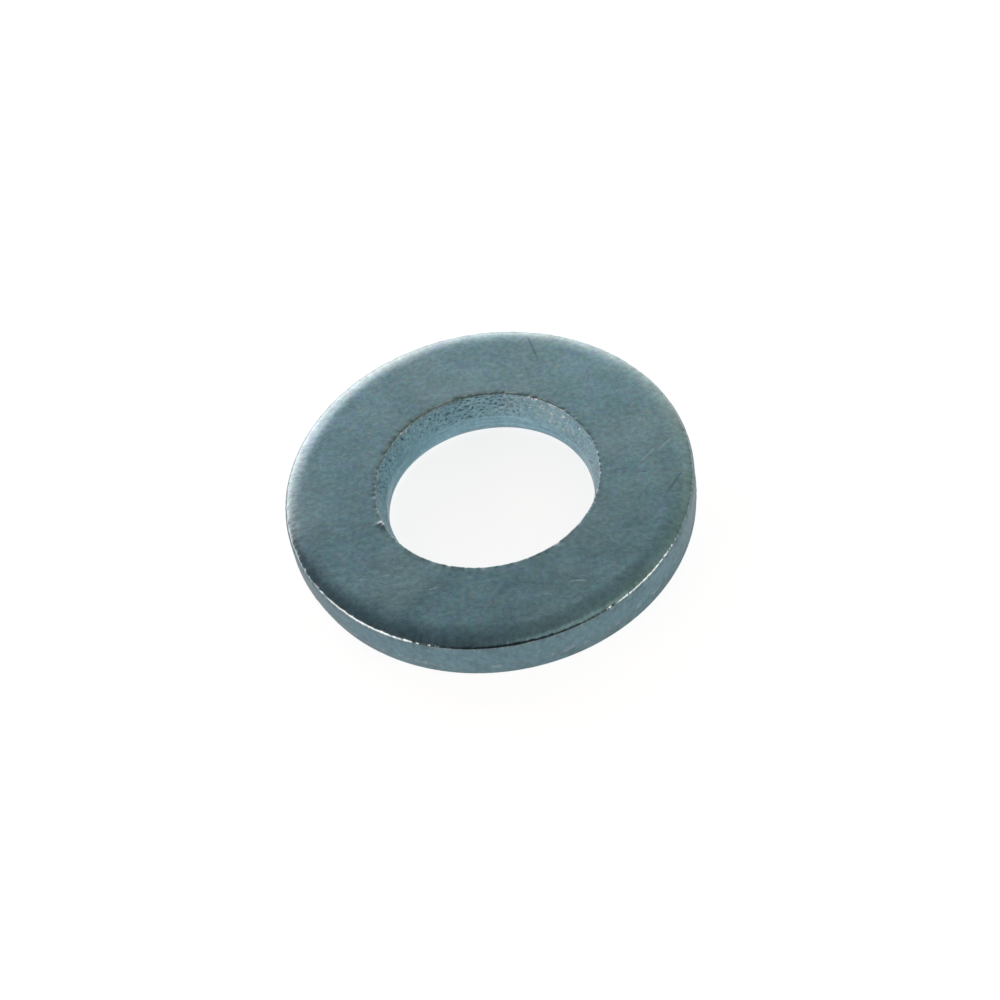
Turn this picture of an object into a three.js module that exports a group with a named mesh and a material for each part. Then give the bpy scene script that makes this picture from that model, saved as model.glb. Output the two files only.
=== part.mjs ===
// A flat washer for an M6 screw: one ring, punched from steel strip and zinc plated.
//
// The shape is a half section turned once round the Z axis. Punching leaves its mark on
// that section. The blanking die draws the rim's upper edge down into a soft roll, shears
// a straight bright band below it, and the last of the rim breaks away at a slight taper.
// The hole is pierced from the other side, so its roll is at the bottom and its break-out
// at the top.
//
// Millimetres, +Z up. The origin is the centre of the hole, in the plane of the lower face.

import * as THREE from "three";

// Driving dimensions
const OUTER_DIAMETER = 12.5;
const HOLE_DIAMETER = 6.4;
const THICKNESS = 1.5;

// Rim, blanked: roll at the top, break-out at the bottom
const RIM_ROLL_WIDTH = 0.7;
const RIM_ROLL_DEPTH = 0.175;
const RIM_BREAK_HEIGHT = 0.5;
const RIM_BREAK_TAPER = 0.1;

// Hole, pierced the other way: roll at the bottom, break-out at the top
const HOLE_ROLL_WIDTH = 0.22;
const HOLE_ROLL_DEPTH = 0.28;
const HOLE_BREAK_HEIGHT = 1.0;
const HOLE_BREAK_TAPER = 0.25;

// How finely curves are divided: the turn of the ring, and half of each roll's quarter turn
const RING_SEGMENTS = 96;
const HALF_ROLL_STEPS = 3;

const rimRadius = OUTER_DIAMETER / 2;
const holeRadius = HOLE_DIAMETER / 2;

// A roll is a quarter of an ellipse that leaves the wall upright and meets the face flat.
// It runs anticlockwise round its centre, from a start angle in radians.
function addRoll(outline, centreRadius, centreHeight, width, depth, start) {
  outline.absellipse(centreRadius, centreHeight, width, depth, start, start + Math.PI / 2);
}

// The half section as a closed outline: x is the distance from the axis, y the height.
function halfSection() {
  const outline = new THREE.Path();
  outline.moveTo(holeRadius + HOLE_ROLL_WIDTH, 0);
  outline.lineTo(rimRadius - RIM_BREAK_TAPER, 0);
  outline.lineTo(rimRadius, RIM_BREAK_HEIGHT);
  addRoll(outline, rimRadius - RIM_ROLL_WIDTH, THICKNESS - RIM_ROLL_DEPTH,
    RIM_ROLL_WIDTH, RIM_ROLL_DEPTH, 0);
  outline.lineTo(holeRadius + HOLE_BREAK_TAPER, THICKNESS);
  outline.lineTo(holeRadius, THICKNESS - HOLE_BREAK_HEIGHT);
  addRoll(outline, holeRadius + HOLE_ROLL_WIDTH, HOLE_ROLL_DEPTH,
    HOLE_ROLL_WIDTH, HOLE_ROLL_DEPTH, Math.PI);
  return outline;
}

// The outline's points, with the last one put exactly on the first so that it closes.
function closedProfile(outline) {
  const points = outline.getPoints(HALF_ROLL_STEPS);
  points[points.length - 1].copy(points[0]);
  return points;
}

// LatheGeometry turns its profile round Y, so the ring is tipped to stand round Z.
function makeWasher(material) {
  const ring = new THREE.LatheGeometry(closedProfile(halfSection()), RING_SEGMENTS);
  ring.rotateX(Math.PI / 2);
  const washer = new THREE.Mesh(ring, material);
  washer.name = "washer";
  return washer;
}

const zincPlate = new THREE.MeshStandardMaterial({
  color: new THREE.Color(0.62, 0.7, 0.72),
  roughness: 0.38,
  metalness: 1,
});

const part = new THREE.Group();
part.add(makeWasher(zincPlate));

export default part;
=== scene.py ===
# %% [markdown]
# # A plain washer, punched, tumbled and zinc plated
#
# A washer is one ring of steel strip. What makes it look real is the mark that each step of
# its making leaves: the press that punches it, the tumbling that dulls its corners, and the
# plating bath that colours it. This lesson makes those marks in that order.
#
# The imported model comes first. It gives the ring's true size, and the finished piece has to
# keep to it within a few hundredths of a millimetre.

# %% Load the frame
import math

import bpy
import numpy as np
from mathutils import Matrix, Vector


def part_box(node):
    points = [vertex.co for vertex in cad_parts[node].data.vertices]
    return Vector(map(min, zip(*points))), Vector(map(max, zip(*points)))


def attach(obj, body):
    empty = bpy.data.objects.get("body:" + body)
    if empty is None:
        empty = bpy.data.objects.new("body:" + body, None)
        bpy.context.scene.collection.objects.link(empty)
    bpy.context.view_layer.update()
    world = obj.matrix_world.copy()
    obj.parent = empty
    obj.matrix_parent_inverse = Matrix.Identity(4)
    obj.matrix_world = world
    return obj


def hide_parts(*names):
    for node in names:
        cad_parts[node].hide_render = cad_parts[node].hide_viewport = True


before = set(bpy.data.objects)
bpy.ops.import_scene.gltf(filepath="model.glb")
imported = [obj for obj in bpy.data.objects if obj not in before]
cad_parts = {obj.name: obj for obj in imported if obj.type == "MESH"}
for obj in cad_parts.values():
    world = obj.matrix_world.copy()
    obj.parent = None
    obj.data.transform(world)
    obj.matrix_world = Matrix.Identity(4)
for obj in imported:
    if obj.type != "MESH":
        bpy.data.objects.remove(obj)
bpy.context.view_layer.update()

MM = 0.001

rim_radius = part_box("washer")[1].x
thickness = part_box("washer")[1].z
print(f"washer: {2 * rim_radius / MM:.2f} mm across, {thickness / MM:.2f} mm thick")

# %% [markdown]
# ## The camera
#
# The camera looks down on the ring from the front, at about fifty degrees, with a long lens
# from a few centimetres away. It is tilted a little on its own axis, which turns the picture
# of the ring, and it is aimed slightly off the ring's centre. A lens this close needs a near
# clipping distance of a millimetre, or Blender's default would cut the washer away.

# %% Camera
CAMERA_ELEVATION = math.radians(49.3)
CAMERA_TILT = math.radians(11.33)
CAMERA_DISTANCE = 10.46 * rim_radius
CAMERA_LENS = 77.8
SENSOR_WIDTH = 36.0
CENTRE_RIGHT = -0.0128
CENTRE_UP = 0.0225


def tilted_view(elevation, tilt):
    """The right, up and backward directions of a camera in front that looks down by
    elevation and is then turned about its own line of sight by tilt."""
    level_right = Vector((1, 0, 0))
    level_up = Vector((0, math.sin(elevation), math.cos(elevation)))
    right = level_right * math.cos(tilt) - level_up * math.sin(tilt)
    up = level_right * math.sin(tilt) + level_up * math.cos(tilt)
    return right, up, right.cross(up)


def aim_camera(target):
    """A camera that sees target at CENTRE_RIGHT and CENTRE_UP from the picture's middle, as
    shares of the picture's width."""
    right, up, back = tilted_view(CAMERA_ELEVATION, CAMERA_TILT)
    place = target + back * CAMERA_DISTANCE
    width = SENSOR_WIDTH / CAMERA_LENS
    back = (back + width * (CENTRE_RIGHT * right + CENTRE_UP * up)).normalized()
    right = (right - right.dot(back) * back).normalized()
    turn = Matrix((right, back.cross(right), back)).transposed()
    camera = bpy.data.objects.new("camera", bpy.data.cameras.new("camera"))
    camera.matrix_world = Matrix.Translation(place) @ turn.to_4x4()
    camera.data.lens = CAMERA_LENS
    camera.data.sensor_width = SENSOR_WIDTH
    camera.data.clip_start = MM
    bpy.context.scene.collection.objects.link(camera)
    bpy.context.scene.camera = camera
    return camera


camera = aim_camera(Vector((0, 0, thickness)))
print("camera at", [round(c / MM, 1) for c in camera.matrix_world.translation], "mm")

# %% [markdown]
# ## The section that the press leaves
#
# Cut the ring through and look at the cut end. A punch and die don't leave a rectangle. On
# the rim, the sheet is first drawn down into a soft **roll**, then sheared in a straight
# bright **band**, and at last it tears away, which leaves a rough **break** that slopes in.
# The hole is punched from the other side, so it has the same three marks upside down.
#
# The section could be drawn as a Bezier curve and spun. Here it is a run of stretches, each
# a plain formula, because a formula can be read, and every row of the mesh then knows which
# stretch it lies on. Later steps use that to roughen the breaks and polish the bands.

# %% Stretches of the section
hole_radius = 0.512 * rim_radius
RIM_ROLL_WIDTH = 0.70 * MM
RIM_ROLL_DEPTH = 0.16 * MM
RIM_ROLL_EASE = 0.4
RIM_BREAK = 0.50 * MM
RIM_SLOPE = 0.10 * MM
HOLE_BREAK = 0.82 * MM
HOLE_SLOPE = 0.21 * MM
HOLE_ROLL_WIDTH = 0.18 * MM
HOLE_ROLL_DEPTH = 0.24 * MM
HOLE_ROLL_EASE = 0.6
FINE_STEP = 0.001 * MM

foot = (rim_radius - RIM_SLOPE, 0)
rim_low = (rim_radius, RIM_BREAK)
rim_top = (rim_radius, thickness - RIM_ROLL_DEPTH)
face_edge = (rim_radius - RIM_ROLL_WIDTH, thickness)
lip = (hole_radius + HOLE_SLOPE, thickness)
hole_top = (hole_radius, thickness - HOLE_BREAK)
hole_low = (hole_radius, HOLE_ROLL_DEPTH)
hole_foot = (hole_radius + HOLE_ROLL_WIDTH, 0)


def straight(start, end):
    """Points of (radius, height) along a line: start + (end - start) * t."""
    start, end = np.array(start), np.array(end)
    count = int(np.linalg.norm(end - start) / FINE_STEP)
    t = np.arange(count)[:, None] / count
    return start + (end - start) * t


def rolled(wall, face, ease, wall_first):
    """Points of a die roll between a wall and a face. The fall from the face is depth *
    (ease * u**2 + (1 - ease) * u**4), where u is 0 on the face and 1 at the wall, so it
    leaves the face flat and meets the wall steep."""
    count = int((abs(wall[0] - face[0]) + abs(wall[1] - face[1])) / FINE_STEP)
    u = np.arange(count) / count
    u = 1 - u if wall_first else u
    fall = ease * u**2 + (1 - ease) * u**4
    radius = face[0] + (wall[0] - face[0]) * u
    return np.column_stack([radius, face[1] + (wall[1] - face[1]) * fall])


stretches = {
    "lower_face": straight(hole_foot, foot),
    "rim_break": straight(foot, rim_low),
    "rim_band": straight(rim_low, rim_top),
    "rim_roll": rolled(rim_top, face_edge, RIM_ROLL_EASE, wall_first=True),
    "upper_face": straight(face_edge, lip),
    "hole_break": straight(lip, hole_top),
    "hole_band": straight(hole_top, hole_low),
    "hole_roll": rolled(hole_low, hole_foot, HOLE_ROLL_EASE, wall_first=True),
}
for name, points in stretches.items():
    print(f"{name}: {len(points) * FINE_STEP / MM:.2f} mm of the section")

# %% [markdown]
# ## Rounding the corners and placing the rows
#
# The section's corners are still as sharp as the formulas make them. Real washers are
# tumbled after punching, which rounds their corners by a few hundredths of a millimetre. A
# Bevel modifier could do that, but blurring the section along its own length rounds all the
# corners at once and leaves the straight stretches where they are. The blur is wider at the
# rim's upper edge, which rubs on everything, and narrower at the lip, where the punch broke
# out.
#
# The blurred section is then sampled again, with rows close together where the surface will
# be rough or tightly curved, closest of all at the lip, and far apart on the flat faces. The
# same blur turns "this point is on that stretch" into a soft share between 0 and 1.

# %% Blur the section
CORNER_BLUR = 0.014 * MM
EDGE_BLUR = 0.078 * MM
LIP_BLUR = 0.010 * MM
BLUR_REACH = 0.18 * MM

outline = np.vstack(list(stretches.values()))
owner = np.repeat(np.arange(len(stretches)), [len(p) for p in stretches.values()])
girth = len(outline) * FINE_STEP
starts = {name: np.argmax(owner == i) * FINE_STEP for i, name in enumerate(stretches)}


def blurred(columns, width):
    """Each column smoothed round the closed outline by a bell curve of that width. A long
    outline is quickest blurred as frequencies, where the bell curve is a multiplication."""
    frequency = np.fft.fftfreq(len(columns), FINE_STEP)
    keep = np.exp(-2 * (np.pi * width * frequency) ** 2)
    return np.fft.ifft(np.fft.fft(columns, axis=0) * keep[:, None], axis=0).real


def blur_share(corner):
    """1 at that corner, and falling to 0 within about BLUR_REACH of it."""
    away = np.arange(len(outline)) * FINE_STEP - starts[corner]
    return np.exp(-((away / BLUR_REACH) ** 2))[:, None]


plain = np.hstack([outline, np.eye(len(stretches))[owner]])
fine = blurred(plain, CORNER_BLUR)
for corner, width in (("rim_roll", EDGE_BLUR), ("hole_break", LIP_BLUR)):
    fine += (blurred(plain, width) - fine) * blur_share(corner)
print(f"section: {girth / MM:.2f} mm round")

# %% Place the rows
ROW_SPACING = {
    "lower_face": 0.340 * MM,
    "rim_break": 0.036 * MM,
    "rim_band": 0.070 * MM,
    "rim_roll": 0.036 * MM,
    "upper_face": 0.095 * MM,
    "hole_break": 0.029 * MM,
    "hole_band": 0.036 * MM,
    "hole_roll": 0.040 * MM,
}
LIP_CROWDING = 0.75
CROWDING_REACH = 0.07 * MM


def placed_rows(spacing):
    """Places along the outline, one local spacing after another, in steps of FINE_STEP. The
    spacing shrinks towards the lip, the sharpest corner, by 1 - LIP_CROWDING * exp(-(distance
    / CROWDING_REACH)**2)."""
    away = np.arange(len(spacing)) * FINE_STEP - starts["hole_break"]
    spacing = spacing * (1 - LIP_CROWDING * np.exp(-((away / CROWDING_REACH) ** 2)))
    reach = np.concatenate([[0], np.cumsum(FINE_STEP / spacing)])
    rows = int(reach[-1])
    return np.interp(np.arange(rows) * reach[-1] / rows, reach, np.arange(len(reach)))


fine = np.vstack([fine, fine[:1]])
at = placed_rows(fine[:-1, 2:] @ np.array(list(ROW_SPACING.values())))
rows = np.array([np.interp(at, np.arange(len(fine)), column) for column in fine.T]).T
section_radius, section_height = rows[:, 0], rows[:, 1]
share = dict(zip(stretches, rows[:, 2:].T, strict=True))
along = at * FINE_STEP
print(f"{len(at)} rows round the section")

# %% [markdown]
# ## Two kinds of unevenness
#
# Everything rough or worn on the ring is made of two things: **waves**, which cover an area
# with bumps of a given size, and **dents**, which are single marks in single places.
#
# Both work on the ring's own grid, which is distance along the section one way and angle
# round the ring the other. Each wave or dent is one shape along times another shape round,
# so hundreds of them are summed by a single matrix product, with no loop over the points.
# A wave has a whole number of crests each way, so that the surface closes without a seam.

# %% Waves and dents
COLUMNS = 720
angle = np.arange(COLUMNS) * math.tau / COLUMNS
FULL_TURN = 360


def off_round(middle):
    """How many degrees each column is from middle, the short way round."""
    return (np.degrees(angle) - middle + FULL_TURN / 2) % FULL_TURN - FULL_TURN / 2


def waves(seed, count, finest, coarsest, radius, upright=1.0, level=1.0):
    """Bumps with wavelengths between finest and coarsest, as the sum of count cosines of
    (crests round * angle + crests along * distance + phase), scaled to a spread of 1.
    upright draws the bumps out along the section, and level draws them out round the ring."""
    draw = np.random.default_rng(seed)
    length = coarsest * (finest / coarsest) ** draw.random(count)
    heading = draw.random(count) * math.tau
    phase = draw.random(count) * math.tau
    crests_round = np.round(math.tau * radius / (length * level) * np.cos(heading))
    crests_along = np.round(girth / (length * upright) * np.sin(heading))
    down = np.exp(1j * (np.outer(along, crests_along * math.tau / girth) + phase))
    across = np.exp(1j * np.outer(crests_round, angle))
    return (down @ across).real / math.sqrt(count / 2)


def dents(places, degrees, depths, lengths, widths):
    """Bell-shaped marks: depth * exp(-(distance along / length)**2 - (distance round /
    width)**2) for each, summed. Places and sizes are in metres, and angles in degrees."""
    places, degrees, depths, lengths, widths = map(
        np.atleast_1d, (places, degrees, depths, lengths, widths))
    radius = np.interp(places, along, section_radius)[:, None]
    down = np.exp(-(((along[:, None] - places) / lengths) ** 2))
    arc = np.radians(off_round(degrees[:, None])) * radius
    across = np.exp(-((arc / widths[:, None]) ** 2))
    return (down * depths) @ across


def scattered(seed, count, first, last, deepest, smallest, largest, middle=180, spread=180):
    """Random dents between two places along the section, and within spread degrees of
    middle. The depth is deepest * (a random share)**2, so most are shallow."""
    draw = np.random.default_rng(seed)
    places = first + (last - first) * draw.random(count)
    degrees = middle + spread * (2 * draw.random(count) - 1)
    depths = deepest * draw.random(count) ** 2
    sizes = smallest + (largest - smallest) * draw.random(count)
    return dents(places, degrees, depths, sizes, sizes * (0.6 + draw.random(count)))


def around(middle, spread):
    """A soft window on the angle, 1 at middle and falling to 0 over about spread degrees."""
    return np.exp(-((off_round(middle) / spread) ** 2))


def near(place, spread):
    """1 at a place along the section, and falling to 0 over about spread."""
    return np.exp(-(((along - place) / spread) ** 2))


def column(values):
    """Values by row, ready to multiply a grid."""
    return np.asarray(values)[:, None]


print(f"grid: {len(at)} rows by {COLUMNS} columns, {2 * len(at) * COLUMNS} triangles")

# %% [markdown]
# ## The torn breaks
#
# Where the metal tore, it is grainy: fine bumps with sharp creases between them. The creases
# come from folding a wave at zero, which is what taking its absolute value does. A folded wave
# averages 0.8, so that much is taken off again. On one side of the hole the punch had worn,
# and whole grains came away and left pits. On the other side small flakes stand proud. The
# rim tore more finely, and only on its lower third.

# %% Torn metal
RIM_TORN = 0.0040 * MM
HOLE_TORN = 0.0060 * MM
HOLE_CREASED = 0.0070 * MM
PIT_DEPTH = 0.020 * MM
FLAKE_HEIGHT = 0.015 * MM
FLAKE_SIZES = (0.022 * MM, 0.048 * MM)
FLAKED_STRETCH = (0.03 * MM, 0.75 * MM)
WORN_SIDE = 140
FLAKED_SIDE = 45
FLAKED_SPREAD = 34
AVERAGE_FOLD = 0.8
PITS_ABOVE = 0.8
PITS_FROM = 0.75 * MM
PITS_FULL = 0.95 * MM

rim_edge = starts["rim_roll"]
rim_step = starts["rim_band"]
lip_edge = starts["hole_break"]

fine_tear = waves(12, 320, 0.075 * MM, 0.20 * MM, hole_radius)
creases = np.abs(waves(15, 200, 0.16 * MM, 0.50 * MM, hole_radius)) - AVERAGE_FOLD
rim_tear = waves(11, 300, 0.11 * MM, 0.40 * MM, rim_radius)
grain_loss = np.maximum(waves(13, 260, 0.10 * MM, 0.26 * MM, hole_radius) - PITS_ABOVE, 0)

rough_hole = share["hole_break"] * (1 - 0.8 * near(lip_edge, 0.08 * MM))
rough_rim = share["rim_break"] * (1 - near(starts["rim_break"], 0.15 * MM))
upper_part = np.clip((section_height - PITS_FROM) / (PITS_FULL - PITS_FROM), 0, 1)
worn = around(WORN_SIDE, 28) + 0.10 * around(85, 30) + 0.06
pits = column(rough_hole * (0.25 + 0.75 * upper_part)) * worn * grain_loss
flakes = scattered(16, 150, lip_edge + FLAKED_STRETCH[0], lip_edge + FLAKED_STRETCH[1],
                   FLAKE_HEIGHT, *FLAKE_SIZES, FLAKED_SIDE, FLAKED_SPREAD)

relief = column(rough_rim) * RIM_TORN * rim_tear
relief += column(rough_hole) * (HOLE_TORN * fine_tear + HOLE_CREASED * creases)
relief += flakes - PIT_DEPTH * pits
print(f"torn: {relief.min() / MM:.3f} to {relief.max() / MM:.3f} mm")

# %% [markdown]
# ## Wiped bands, flat faces and tumbled edges
#
# The tool wiped the bands as it passed. Round the hole it left lines that follow the ring,
# and on the rim faint upright ones. The faces are the mill's strip: nearly flat, with
# shallow swells and a few knocks. The tumbling barrel nicked the edges, and the press left a
# burr on the lip in one place and a ragged trace of one in others. On one side the rim's
# roll is drawn down a little more than on the rest.

# %% Wiped bands and flat faces
RIM_WIPED = 0.0008 * MM
HOLE_WIPED = 0.0050 * MM
SWELL = 0.0010 * MM
KNOCK_DEPTH = 0.004 * MM
KNOCK_SIZES = (0.04 * MM, 0.12 * MM)

rim_lines = waves(21, 200, 0.12 * MM, 0.6 * MM, rim_radius, upright=12)
hole_lines = waves(22, 200, 0.08 * MM, 0.5 * MM, hole_radius, level=16)
swells = waves(31, 60, 1.2 * MM, 6.0 * MM, rim_radius)

wiped_hole = share["hole_band"] + 0.6 * share["hole_roll"] + 0.25 * share["hole_break"]
relief += column(share["rim_band"]) * RIM_WIPED * rim_lines
relief += column(wiped_hole) * HOLE_WIPED * hole_lines
relief += column(share["upper_face"] + 0.5 * share["lower_face"]) * SWELL * swells
relief -= scattered(32, 90, rim_edge, lip_edge, KNOCK_DEPTH, *KNOCK_SIZES)
print(f"with bands and faces: {relief.min() / MM:.3f} to {relief.max() / MM:.3f} mm")

# %% Nicked edges and the burr
RIM_NICK = 0.012 * MM
STEP_NICK = 0.020 * MM
LIP_NICK = 0.016 * MM
LIP_WANDER = 0.006 * MM
EDGE_WANDER = 0.0045 * MM
ROLL_HOLLOW = 0.010 * MM
ROLL_HOLLOW_SIDE = 145
BURR_HEIGHT = 0.042 * MM
BURR_TAIL_HEIGHT = 0.024 * MM
BURR_SIDE = 198

rim_nicks = scattered(41, 210, rim_edge - 0.02 * MM, rim_edge + 0.05 * MM,
                      RIM_NICK, 0.026 * MM, 0.055 * MM)
step_nicks = scattered(14, 200, rim_step - 0.08 * MM, rim_step + 0.03 * MM,
                       STEP_NICK, 0.026 * MM, 0.050 * MM)
lip_nicks = scattered(42, 90, lip_edge - 0.03 * MM, lip_edge + 0.04 * MM,
                      LIP_NICK, 0.025 * MM, 0.065 * MM)
lip_waves = waves(51, 90, 0.14 * MM, 1.2 * MM, hole_radius, upright=50)
ragged = 0.5 + 0.7 * around(5, 18) + 0.5 * around(80, 35) + 0.4 * around(WORN_SIDE, 30)
burr = dents(lip_edge - 0.02 * MM, BURR_SIDE, BURR_HEIGHT, 0.045 * MM, 0.12 * MM)
burr += dents(lip_edge - 0.08 * MM, BURR_SIDE - 2.5, BURR_TAIL_HEIGHT, 0.070 * MM, 0.06 * MM)
edge_waves = waves(52, 120, 0.12 * MM, 0.60 * MM, rim_radius, upright=30)

relief -= rim_nicks + step_nicks + lip_nicks
relief += column(near(lip_edge, 0.04 * MM)) * LIP_WANDER * lip_waves * ragged + burr
relief += column(near(rim_edge + 0.03 * MM, 0.09 * MM)) * EDGE_WANDER * edge_waves
roll_middle = near(rim_edge + 0.38 * MM, 0.22 * MM)
relief -= column(roll_middle) * ROLL_HOLLOW * around(ROLL_HOLLOW_SIDE, 45)
print(f"with edges: {relief.min() / MM:.3f} to {relief.max() / MM:.3f} mm")

# %% [markdown]
# ## Turning the section into a ring
#
# The ring is the section carried once round the axis. Each point moves out along the
# section's own normal by its relief, and is then turned to its angle. The grid closes both
# ways, so there is no seam and no pole: every row joins the next, and the last the first.
#
# Punch and die are never quite in line, so the breaks are wider on one side than on the
# other. A push of less than a tenth of a millimetre along the radius leans them: the rim's
# foot to one side, the hole's lip to another, and the hole's foot in at the right.
#
# The mesh also carries masks, one value at each point, that tell the finish where the metal
# is torn, wiped, tumbled, pitted, stained or rubbed bare, and where shade is painted in: on
# one side of the hole's walls and of the rim's break, at the hole's foot and along the front
# of the lip.

# %% The ring's mesh
RIM_LEAN = 0.075 * MM
RIM_LEAN_SIDE = 335
LIP_LEAN = 0.060 * MM
LIP_LEAN_SIDE = 212
FOOT_LEAN = 0.070 * MM
FOOT_LEAN_SIDE = 5
MID_RING = 0.75
LEAN_FADE = 0.20


def leaning():
    """How far each point is pushed along the radius. Each push is full on one edge of the
    section, and fades to nothing towards mid-ring and mid-height. Round the ring, the rim's
    is a cosine, out on one side and in on the other, and the hole's two are bell curves."""
    outward = np.clip((section_radius / rim_radius - MID_RING) / LEAN_FADE, 0, 1)
    inward = np.clip((MID_RING - section_radius / rim_radius) / LEAN_FADE, 0, 1)
    low = np.clip(1 - section_height / (0.4 * thickness), 0, 1)
    high = np.clip(section_height / (0.6 * thickness) - 0.67, 0, 1)
    rim = column(outward * low) * RIM_LEAN * np.cos(angle - math.radians(RIM_LEAN_SIDE))
    lip = column(inward * high) * LIP_LEAN * around(LIP_LEAN_SIDE, 35)
    hole_low = column(inward * low) * FOOT_LEAN * around(FOOT_LEAN_SIDE, 28)
    return rim + lip - hole_low


def section_normals():
    """The outward normal of each row: the direction along the outline, turned clockwise."""
    run = np.roll(rows[:, :2], -1, axis=0) - np.roll(rows[:, :2], 1, axis=0)
    run /= np.linalg.norm(run, axis=1)[:, None]
    return run[:, 1], -run[:, 0]


def ring_points():
    """(radius * cos(angle), radius * sin(angle), height) for each row and column."""
    out, up = section_normals()
    radius = column(section_radius) + column(out) * relief + leaning()
    height = column(section_height) + column(up) * relief
    return np.stack([radius * np.cos(angle), radius * np.sin(angle), height], axis=-1)


def closed_grid_faces(row_count, column_count):
    """Four-cornered faces that join each row and column to the next, and the last to the
    first, with their corners in the order that points them outwards."""
    index = np.arange(row_count * column_count).reshape(row_count, column_count)
    right, up = np.roll(index, -1, axis=1), np.roll(index, -1, axis=0)
    return np.stack([index, right, np.roll(up, -1, axis=1), up], axis=-1).reshape(-1, 4)


def ring_object(name, points, masks):
    """A smooth mesh of the grid, with each mask kept as a value on its points."""
    faces = closed_grid_faces(*points.shape[:2])
    mesh = bpy.data.meshes.new(name)
    mesh.from_pydata(points.reshape(-1, 3), [], faces)
    mesh.polygons.foreach_set("use_smooth", np.ones(len(faces), bool))
    for mask, values in masks.items():
        layer = mesh.attributes.new(mask, "FLOAT", "POINT")
        grid = np.broadcast_to(values, points.shape[:2])
        layer.data.foreach_set("value", grid.astype(np.float32).ravel())
    mesh.update()
    piece = bpy.data.objects.new(name, mesh)
    bpy.context.scene.collection.objects.link(piece)
    return piece


# %% Masks for the finish
TUMBLED_FROM = 0.90
BARE_DEPTH = 0.010 * MM
STEP_NICK_SHINE = 3
# Painted shade on the sides of the hole's walls and of the rim's break that the light leaves
# darker
RIM_SHADE_SHARE = 0.45
SHADED_HOLE_SIDE = 150
SHADED_RIM_SIDE = 315
# Painted shade along the front of the lip
SHADED_LIP_SIDE = 275
STAINED_SIDE = 115

outer = np.clip((section_radius / rim_radius - TUMBLED_FROM) / (1 - TUMBLED_FROM), 0, 1)
above = np.clip((section_height - 0.80 * thickness) / (0.05 * thickness), 0, 1)
# Painted shade along the front of the lip
lip_shade = column(near(lip_edge, 0.035 * MM)) * around(SHADED_LIP_SIDE, 60)
stains = column(near(lip_edge - 0.04 * MM, 0.10 * MM)) * (0.25 + around(STAINED_SIDE, 65))
rubbed = rim_nicks + STEP_NICK_SHINE * step_nicks + lip_nicks + flakes + burr
masks = {
    "hole_torn": column(share["hole_break"]),
    "rim_torn": column(share["rim_break"]),
    "wiped": column(share["rim_band"] + share["hole_band"]),
    "lined": column(share["hole_band"]),
    # Painted shade on one side of the hole's walls and of the rim's break
    "side_shade": (column(share["hole_break"] + share["hole_band"]) * around(SHADED_HOLE_SIDE, 55)
             + RIM_SHADE_SHARE * column(share["rim_break"]) * around(SHADED_RIM_SIDE, 40)),
    "shaded": column(share["hole_roll"]),
    # Painted shade at the hole's foot
    "tumbled": column(outer**2 * above),
    # Pits, with the painted shade along the front of the lip added
    "pitted_and_shaded": np.clip(pits + lip_shade, 0, 1),
    "bare": np.clip(rubbed / BARE_DEPTH, 0, 1),
    "stained": stains,
}
washer = ring_object("plated_washer", ring_points(), masks)
print(f"{washer.name}: {len(washer.data.polygons)} faces, masks: {', '.join(masks)}")

# %% [markdown]
# ## Writing shader maths as sums
#
# A finish is built from a few patterns, each scaled, added and mixed. Adding every Math node
# by hand hides that, so this small class wraps a socket: plus, minus and times on it add the
# Math node and give back its result. Its method node adds any other kind of node.

# %% A socket that can be added and multiplied
class Wire:
    """An output socket of a node tree, for use in arithmetic."""

    def __init__(self, tree, socket=None):
        self.tree = tree
        self.socket = socket

    def node(self, kind, settings=None, inputs=None, output=0):
        """Adds a node of that kind: first its settings, then its sockets' values or links."""
        made = self.tree.nodes.new(kind)
        for name, value in (settings or {}).items():
            setattr(made, name, value)
        for key, value in (inputs or {}).items():
            if isinstance(value, Wire):
                self.tree.links.new(value.socket, made.inputs[key])
            else:
                made.inputs[key].default_value = value
        return Wire(self.tree, made.outputs[output] if made.outputs else None)

    def twin(self, output):
        """Another output of the node that this one comes from."""
        return Wire(self.tree, self.socket.node.outputs[output])

    def maths(self, operation, *terms):
        return self.node("ShaderNodeMath", {"operation": operation}, dict(enumerate(terms)))

    def __add__(self, other):
        return self.maths("ADD", self, other)

    def __sub__(self, other):
        return self.maths("SUBTRACT", self, other)

    def __rsub__(self, other):
        return self.maths("SUBTRACT", other, self)

    def __mul__(self, other):
        return self.maths("MULTIPLY", self, other)

    __radd__ = __add__
    __rmul__ = __mul__

    def smooth(self, start, end):
        """0 below start, 1 above end, and a smooth step between."""
        inputs = {"Value": self, "From Min": start, "From Max": end}
        return self.node("ShaderNodeMapRange", {"interpolation_type": "SMOOTHSTEP"}, inputs)

    def vector(self, operation, other=None, output=0):
        """Vector maths on this socket and another vector, or with Scale a number."""
        key = "Scale" if operation == "SCALE" else 1
        inputs = {0: self} if other is None else {0: self, key: other}
        return self.node("ShaderNodeVectorMath", {"operation": operation}, inputs, output)


def new_tree(owner):
    """Gives a material or world an empty node tree, and returns a Wire to start it with."""
    owner.use_nodes = True
    owner.node_tree.nodes.clear()
    return Wire(owner.node_tree)


def mixed(first, second, share):
    """One colour blended towards another by share."""
    settings = {"data_type": "RGBA"}
    return share.node("ShaderNodeMix", settings, {0: share, 6: first, 7: second}, output=2)


print("Wire ready")

# %% [markdown]
# ## Patterns
#
# Every pattern reads Object coordinates, turned into millimetres, so that a scale means
# bumps to the millimetre. A Mapping node can squeeze a pattern into lines, or fit it to one
# mark: with its type set to Texture, it measures every point from the mark's own middle, in
# the mark's own lengths, so the mark is simply where that vector is shorter than 1.

# %% Patterns for the finish
SCRATCH_STRETCH = (1.1, 14, 1.1)
SCRATCH_EDGE = 0.08
MARK_DEPTH = 0.2


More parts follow.
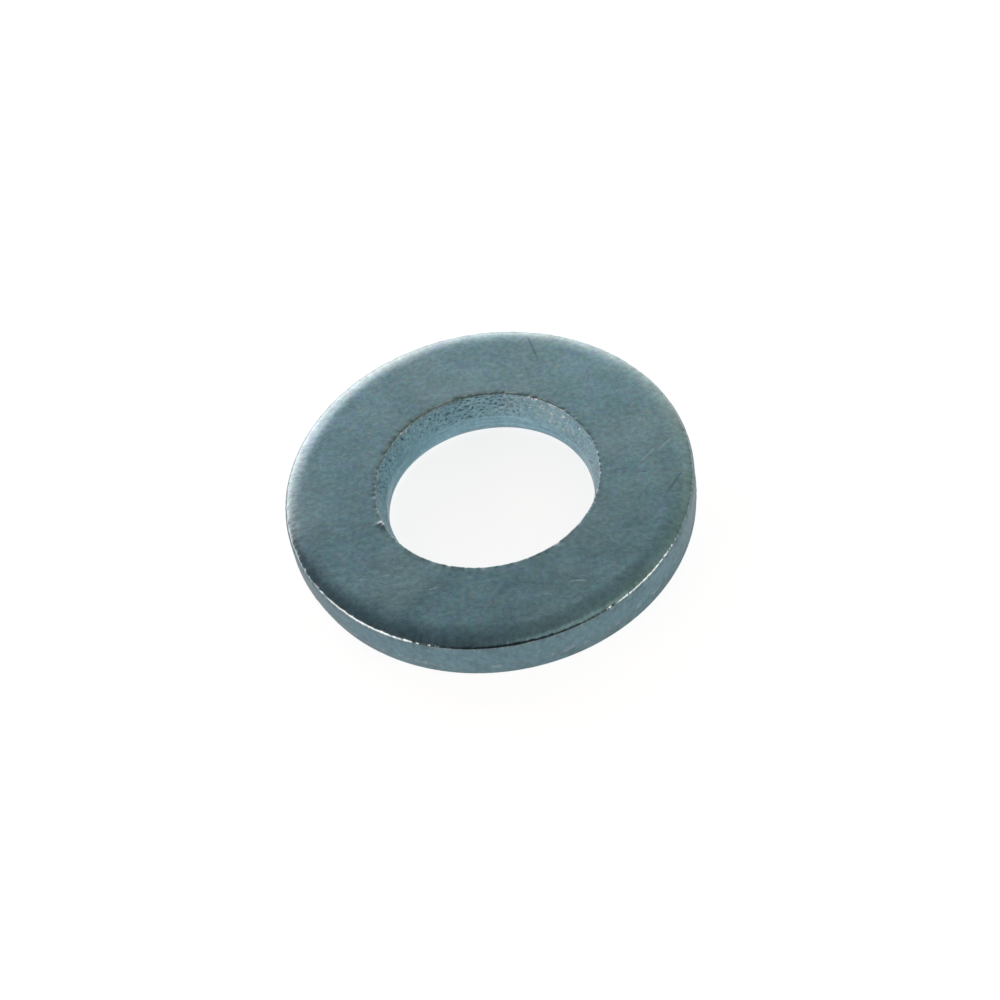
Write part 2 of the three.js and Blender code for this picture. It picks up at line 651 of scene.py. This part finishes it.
def noise(place, scale, detail=3.0, rough=0.55, output=0):
    """Smooth random values about a half, with scale bumps to the millimetre."""
    inputs = {"Vector": place, "Scale": scale, "Detail": detail, "Roughness": rough}
    return place.node("ShaderNodeTexNoise", {"noise_dimensions": "3D"}, inputs, output)


def scratches(place, turn, density):
    """Fine lines in one direction: noise drawn out a dozen times as long as it is wide."""
    turned = (0, 0, math.radians(turn))
    squeeze = {"Vector": place, "Rotation": turned, "Scale": SCRATCH_STRETCH}
    lines = noise(place.node("ShaderNodeMapping", None, squeeze), 1.0, 1.0)
    return lines.smooth(density, density + SCRATCH_EDGE)


def mark(place, x, y, turn, length, width):
    """One soft-edged oval mark on the upper face, centred at x and y in millimetres."""
    middle = (x, y, thickness / MM)
    size = (length / 2, width / 2, MARK_DEPTH)
    turned = (0, 0, math.radians(turn))
    fit = {"Vector": place, "Location": middle, "Rotation": turned, "Scale": size}
    inside = place.node("ShaderNodeMapping", {"vector_type": "TEXTURE"}, fit)
    return 1 - inside.vector("LENGTH", output="Value").smooth(0.5, 1.0)


def drawn_round(place, scale_round, scale_up):
    """Coordinates for a pattern that follows the ring: the direction from the axis, which
    has no seam, times one scale, and the height times another."""
    heading = place.vector("MULTIPLY", (1, 1, 0)).vector("NORMALIZE").vector("SCALE", scale_round)
    return heading.vector("ADD", place.vector("MULTIPLY", (0, 0, scale_up)))


def mask(wire, name):
    """A value that the mesh carries on its points."""
    return wire.node("ShaderNodeAttribute", {"attribute_name": name}, output="Fac")


# %% [markdown]
# ## Blue-passivated zinc
#
# Bright zinc plate is dipped in a passivate that turns it faintly blue. It is a metal, so
# its colour sits in the reflection: Metallic is 1, and Base Color is the tint. The film of
# passivate is never even, so the tint wanders between teal, slate and a drab grey from one
# fifth of a millimetre to the next, and again in broad patches where the bath ran thicker.
# Where edges are rubbed bare it is pale, in pits it is darker, and beside the lip it is
# stained dark. Painted shade darkens it on one side of the hole's walls and of the rim's
# break, at the hole's foot and along the front of the lip.
#
# Two fractal noises, one broad and one fine, make the plate uneven at every size at once.
# They shade the tint and also raise the surface. All the heights below are in millimetres.
# The knocks and scratches that catch the eye are listed one by one.

# %% The plated finish
ZINC_TEAL = (0.335, 0.598, 0.645, 1)
ZINC_SLATE = (0.368, 0.560, 0.712, 1)
ZINC_DRAB = (0.425, 0.575, 0.600, 1)
# Painted shade: a darker tint for the shaded side of the walls and for the hole's foot
SHADE_TINT = (0.190, 0.370, 0.440, 1)
ZINC_BARE = (0.640, 0.780, 0.830, 1)
ZINC_WIPED = (0.345, 0.565, 0.675, 1)
STAIN = (0.320, 0.390, 0.375, 1)
# Dark pits and scratches, and painted shade along the front of the lip
DARK_MARKS_AND_SHADE = (0.110, 0.210, 0.250, 1)

# Each mark: x, y, turn in degrees, length, width, in millimetres
DARK_SCRATCHES = [
    (2.22, 4.97, -82, 1.50, 0.100),
    (5.45, -1.60, 50, 1.20, 0.085),
    (4.66, -0.98, 0, 0.14, 0.110),
]
LIGHT_KNOCKS = [
    (5.37, -0.12, 44, 0.48, 0.140),
    (5.60, 0.06, 39, 0.40, 0.120),
    (4.91, 1.15, 20, 0.20, 0.150),
    (5.03, -0.21, 44, 0.44, 0.120),
    (4.75, -0.44, 45, 0.34, 0.120),
    (1.66, 3.90, 8, 0.28, 0.120),
    (-4.20, -2.90, -14, 0.42, 0.090),
    (-3.48, -2.93, 5, 0.30, 0.090),
    (-2.18, -3.75, 10, 0.34, 0.090),
    (2.00, -4.50, -11, 0.60, 0.090),
]

# The tint's shade: its base, and how far each pattern can take it from there
BASE_SHADE = 0.72
GRAIN_SHADE = 0.35
BROAD_SHADE = 0.19
TICK_SHADE = 0.20
LINE_SHADE = 0.24

# How high each pattern stands, or how deep it is cut, in millimetres
BROAD_HEIGHT = 0.0060
GRAIN_HEIGHT = 0.0030
TEAR_HEIGHT = 0.011
TICK_HEIGHT = 0.0060
LINE_HEIGHT = 0.004
KNOCK_HOLLOW = 0.0014
SCRATCH_HOLLOW = 0.0004

FILM_PATCHES = 4.5
BATH_PATCHES = 0.45
SMOOTH_PLATE = 0.16
BROAD_ROUGHNESS = 0.08
TORN_ROUGHNESS = 0.16
BARE_POLISH = 0.04


def marks(place, placed):
    """The sum of several marks."""
    return sum((mark(place, *one) for one in placed[1:]), mark(place, *placed[0]))


def plate_colour(place, worn):
    """The film's tint: its own wandering, the metal's state below it, and painted shade."""
    cloud = noise(place, FILM_PATCHES, 3.0, 0.65, "Color")
    parts = cloud.node("ShaderNodeSeparateColor", None, {0: cloud})
    film = mixed(ZINC_TEAL, ZINC_SLATE, parts.smooth(0.36, 0.64))
    film = mixed(film, ZINC_DRAB, parts.twin(1).smooth(0.48, 0.74))
    thick = noise(place, BATH_PATCHES, 2.0).smooth(0.45, 0.66)
    film = mixed(film, ZINC_DRAB, thick * 0.35)
    film = mixed(film, ZINC_DRAB, worn["tumbled"] * 0.6)
    film = mixed(film, ZINC_WIPED, worn["wiped"] * 0.8)
    # Painted shade: darker on one side of the hole's walls and of the rim's break, and a little
    # at the hole's foot
    film = mixed(film, SHADE_TINT, worn["side_shade"] * 0.8 + worn["shaded"] * 0.3)
    film = mixed(film, STAIN, worn["stained"] * 0.7)
    # Darker in the pits, and painted shade along the front of the lip
    film = mixed(film, DARK_MARKS_AND_SHADE, worn["pitted_and_shaded"] * 0.8)
    return mixed(film, ZINC_BARE, worn["bare"] * 0.7)


def plated_zinc():
    """The whole finish: tint, roughness and a fine unevenness. The tint is the film's colour
    times a shade, then pale in knocks and dark in scratches."""
    material = bpy.data.materials.new("blue_passivated_zinc")
    start = new_tree(material)
    place = start.node("ShaderNodeTexCoord", output="Object").vector("SCALE", 1 / MM)
    worn = {name: mask(start, name) for name in masks}
    torn = worn["hole_torn"] + worn["rim_torn"] * 0.5
    flat = 1 - torn - worn["wiped"] - worn["shaded"]

    grain = noise(place, 6.0, 3.0, 0.7)
    broad = noise(place, 1.0, 6.0, 0.6)
    tear = noise(place, 13.0, 2.0, 0.7)
    ticks = noise(drawn_round(place, 70.0, 1.2), 1.0, 2.0)
    hole_lines = noise(drawn_round(place, 1.3, 15.0), 1.0, 2.0)
    specks = place.node("ShaderNodeTexVoronoi", {"voronoi_dimensions": "2D"},
                        {"Vector": place, "Scale": 0.7}, "Distance")
    light = marks(place, LIGHT_KNOCKS) + flat * (1 - specks.smooth(0.02, 0.06)) * 0.3
    dark = marks(place, DARK_SCRATCHES)
    lines = scratches(place, 25, 0.67) + scratches(place, -50, 0.68)

    shade = BASE_SHADE + grain.smooth(0.25, 0.75) * GRAIN_SHADE
    shade = shade + broad.smooth(0.30, 0.70) * BROAD_SHADE
    shade = shade - worn["tumbled"] * (1 - ticks.smooth(0.40, 0.60)) * TICK_SHADE
    shade = shade + worn["lined"] * (hole_lines.smooth(0.35, 0.65) - 0.5) * LINE_SHADE
    colour = plate_colour(place, worn).vector("SCALE", shade)
    colour = mixed(colour, ZINC_BARE, light * 0.45)
    colour = mixed(colour, DARK_MARKS_AND_SHADE, dark * 0.5)
    roughness = SMOOTH_PLATE + broad * BROAD_ROUGHNESS
    roughness = roughness + torn * TORN_ROUGHNESS - worn["bare"] * BARE_POLISH
    height = broad * BROAD_HEIGHT + grain * GRAIN_HEIGHT + torn * tear * TEAR_HEIGHT
    height = height + worn["tumbled"] * ticks * TICK_HEIGHT
    height = height + worn["lined"] * hole_lines * LINE_HEIGHT
    height = height - light * KNOCK_HOLLOW - lines * flat * SCRATCH_HOLLOW
    bump = start.node("ShaderNodeBump", None, {"Height": height, "Distance": MM})
    shader = start.node("ShaderNodeBsdfPrincipled", None, {
        "Base Color": colour, "Roughness": roughness, "Metallic": 1.0, "Normal": bump,
    })
    start.node("ShaderNodeOutputMaterial", None, {"Surface": shader})
    return material


washer.data.materials.append(plated_zinc())
print("materials:", [m.name for m in washer.data.materials])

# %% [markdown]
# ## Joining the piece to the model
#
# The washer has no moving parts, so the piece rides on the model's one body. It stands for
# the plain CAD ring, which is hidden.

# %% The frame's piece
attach(washer, "root")
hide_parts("washer")
print(washer.name, "rides on root")

# %% [markdown]
# ## The floor
#
# A plain pale sheet. It is a matt surface with a glow of its own, stronger to the camera
# than in reflections, which is how a brightly lit sheet looks when the exposure is set for
# the darker metal on it. In reflections it glows more inside the hole and behind the ring,
# a painted pool of light where the studio's light comes from. To the camera it is a little
# darker inside the hole: a painted shadow, for the light that the ring keeps off it. Seen
# from below it is clear, so the underside of the ring can be looked at too.

# %% Floor
FLOOR_HALF = 0.6
FLOOR_GAP = 0.01 * MM
FLOOR_MATT = (0.53, 0.52, 0.515, 1)
GLOW_SEEN = 0.86
# Painted shadow: the glow that the camera sees inside the hole
GLOW_THROUGH_HOLE = 0.80
GLOW_BEHIND = 0.90
GLOW_AROUND = 0.23
HOLE_GLOW_SHARE = 0.35
HOLE_FADE = (3.0, 3.6)
BEHIND_FADE = (5.0, 8.0)


def make_floor():
    """One square below the ring, matt and glowing above and clear below."""
    mesh = bpy.data.meshes.new("floor")
    corners = [(x * FLOOR_HALF, y * FLOOR_HALF, -FLOOR_GAP)
               for x, y in ((-1, -1), (1, -1), (1, 1), (-1, 1))]
    mesh.from_pydata(corners, [], [(0, 1, 2, 3)])
    floor = bpy.data.objects.new("floor", mesh)
    bpy.context.scene.collection.objects.link(floor)
    material = bpy.data.materials.new("pale_floor")
    start = new_tree(material)
    matt = start.node("ShaderNodeBsdfDiffuse", None, {"Color": FLOOR_MATT})
    shown, through, bright, dim = (
        start.node("ShaderNodeEmission", None, {"Strength": strength})
        for strength in (GLOW_SEEN, GLOW_THROUGH_HOLE, GLOW_BEHIND, GLOW_AROUND))
    place = start.node("ShaderNodeTexCoord", output="Object").vector("SCALE", 1 / MM)
    inside = 1 - place.vector("LENGTH", output="Value").smooth(*HOLE_FADE)
    behind = place.node("ShaderNodeSeparateXYZ", None, {0: place}, "Y").smooth(*BEHIND_FADE)
    # Painted light: reflections see more glow behind the ring and inside the hole
    zone = behind + inside * HOLE_GLOW_SHARE
    mirrored = start.node("ShaderNodeMixShader", None, {0: zone, 1: dim, 2: bright})
    # Painted shadow: the camera sees less glow inside the hole
    in_view = start.node("ShaderNodeMixShader", None, {0: inside, 1: shown, 2: through})
    seen = start.node("ShaderNodeLightPath", output="Is Camera Ray")
    glow = start.node("ShaderNodeMixShader", None, {0: seen, 1: mirrored, 2: in_view})
    pale = start.node("ShaderNodeAddShader", None, {0: matt, 1: glow})
    clear = start.node("ShaderNodeBsdfTransparent")
    below = start.node("ShaderNodeNewGeometry", output="Backfacing")
    surface = start.node("ShaderNodeMixShader", None, {0: below, 1: pale, 2: clear})
    start.node("ShaderNodeOutputMaterial", None, {"Surface": surface})
    floor.data.materials.append(material)
    return floor


floor = make_floor()
print("floor:", 2 * FLOOR_HALF, "m square")

# %% [markdown]
# ## The studio
#
# Polished metal shows what stands round it, so the light is set by what the ring will
# reflect. A camera that looks down at fifty degrees sees the sky at fifty degrees behind
# the ring in its flat face, so that part of the surroundings sets the face's tone. The roll
# at the back sees the horizon, so a warm bright wall stands there. The roll at the front
# sees the shaded front of the room, with one paler patch in it. The walls of the hole and
# the rim see only the floor.
#
# The walls are painted into the world as soft steps on the direction's three parts: up,
# right and back. The room is lighter and greener to the right. Two small warm lamps low at
# the sides add the thin glints along the edges.

# %% Lamps
WARM = (1.0, 0.70, 0.62)


def panel(name, azimuth, elevation, width, height, radiance, distance=0.5):
    """A flat lamp that faces the washer. Azimuth runs anticlockwise from +X, in degrees."""
    a, e = math.radians(azimuth), math.radians(elevation)
    out = Vector((math.cos(a) * math.cos(e), math.sin(a) * math.cos(e), math.sin(e)))
    lamp = bpy.data.lights.new(name, "AREA")
    lamp.shape = "RECTANGLE"
    lamp.size, lamp.size_y = width, height
    lamp.color = WARM
    lamp.energy = radiance * math.pi * width * height
    lamp_object = bpy.data.objects.new(name, lamp)
    lamp_object.location = out * distance
    lamp_object.rotation_mode = "QUATERNION"
    lamp_object.rotation_quaternion = out.to_track_quat("Z", "Y")
    lamp_object.visible_camera = False
    bpy.context.scene.collection.objects.link(lamp_object)
    print(f"{name}: {azimuth} degrees round, {elevation} up")


panel("left_strip", azimuth=199, elevation=12, width=0.42, height=0.24, radiance=2.5)
panel("right_strip", azimuth=-26, elevation=10, width=0.29, height=0.20, radiance=2.4)

# %% World
DARK_SIDE = 0.104
SIDE_STEP = 0.176
FRONT_SHADE = 0.84
SKY_STEP = 0.18
WALL = 1.10
CORNER_PATCH = 0.55
FRONT_PATCH = 0.18
WHITE = (1.00, 1.00, 1.00, 1)
BLUISH = (0.88, 1.00, 1.06, 1)
GREENISH = (0.92, 1.00, 0.86, 1)
WALL_WARMTH = (1.38, 1.00, 0.92, 1)
CORNER_TOWARDS = (-0.40, 0.86, 0.30)
FRONT_TOWARDS = (0.33, -0.47, 0.82)


def make_world():
    """The walls of the studio, and plain white where the camera sees past the floor."""
    world = bpy.data.worlds.new("studio")
    start = new_tree(world)
    direction = start.node("ShaderNodeTexCoord", output="Generated")
    right = start.node("ShaderNodeSeparateXYZ", None, {0: direction})
    back, up = right.twin(1), right.twin(2)
    side = right.smooth(-0.5, 0.8)
    behind = back.smooth(0.0, 0.5) * (right - up).smooth(-1.20, -1.02)
    behind = behind * (1 - right.smooth(0.0, 0.88))
    shade = 1 - FRONT_SHADE * (0 - back).smooth(0.5, 0.9)
    front = direction.vector("DOT_PRODUCT", FRONT_TOWARDS, "Value").smooth(0.88, 0.98)
    sky = (DARK_SIDE + SIDE_STEP * side) * shade + FRONT_PATCH * front
    sky = sky + SKY_STEP * behind * (1 - up.smooth(0.74, 0.82))
    corner = direction.vector("DOT_PRODUCT", CORNER_TOWARDS, "Value").smooth(0.90, 0.99)
    wall = WALL * behind * (1 - up.smooth(0.0, 0.85)) + CORNER_PATCH * corner
    tint = mixed(BLUISH, GREENISH, side)
    cool = start.node("ShaderNodeBackground", None, {"Color": tint, "Strength": sky})
    warm = start.node("ShaderNodeBackground", None, {"Color": WALL_WARMTH, "Strength": wall})
    walls = start.node("ShaderNodeAddShader", None, {0: cool, 1: warm})
    white = start.node("ShaderNodeBackground", None, {"Color": WHITE, "Strength": 1.0})
    seen = start.node("ShaderNodeLightPath", output="Is Camera Ray")
    surface = start.node("ShaderNodeMixShader", None, {0: seen, 1: walls, 2: white})
    start.node("ShaderNodeOutputWorld", None, {"Surface": surface})
    return world


bpy.context.scene.world = make_world()
bpy.context.scene.view_settings.view_transform = "Standard"
print("world:", bpy.context.scene.world.name)
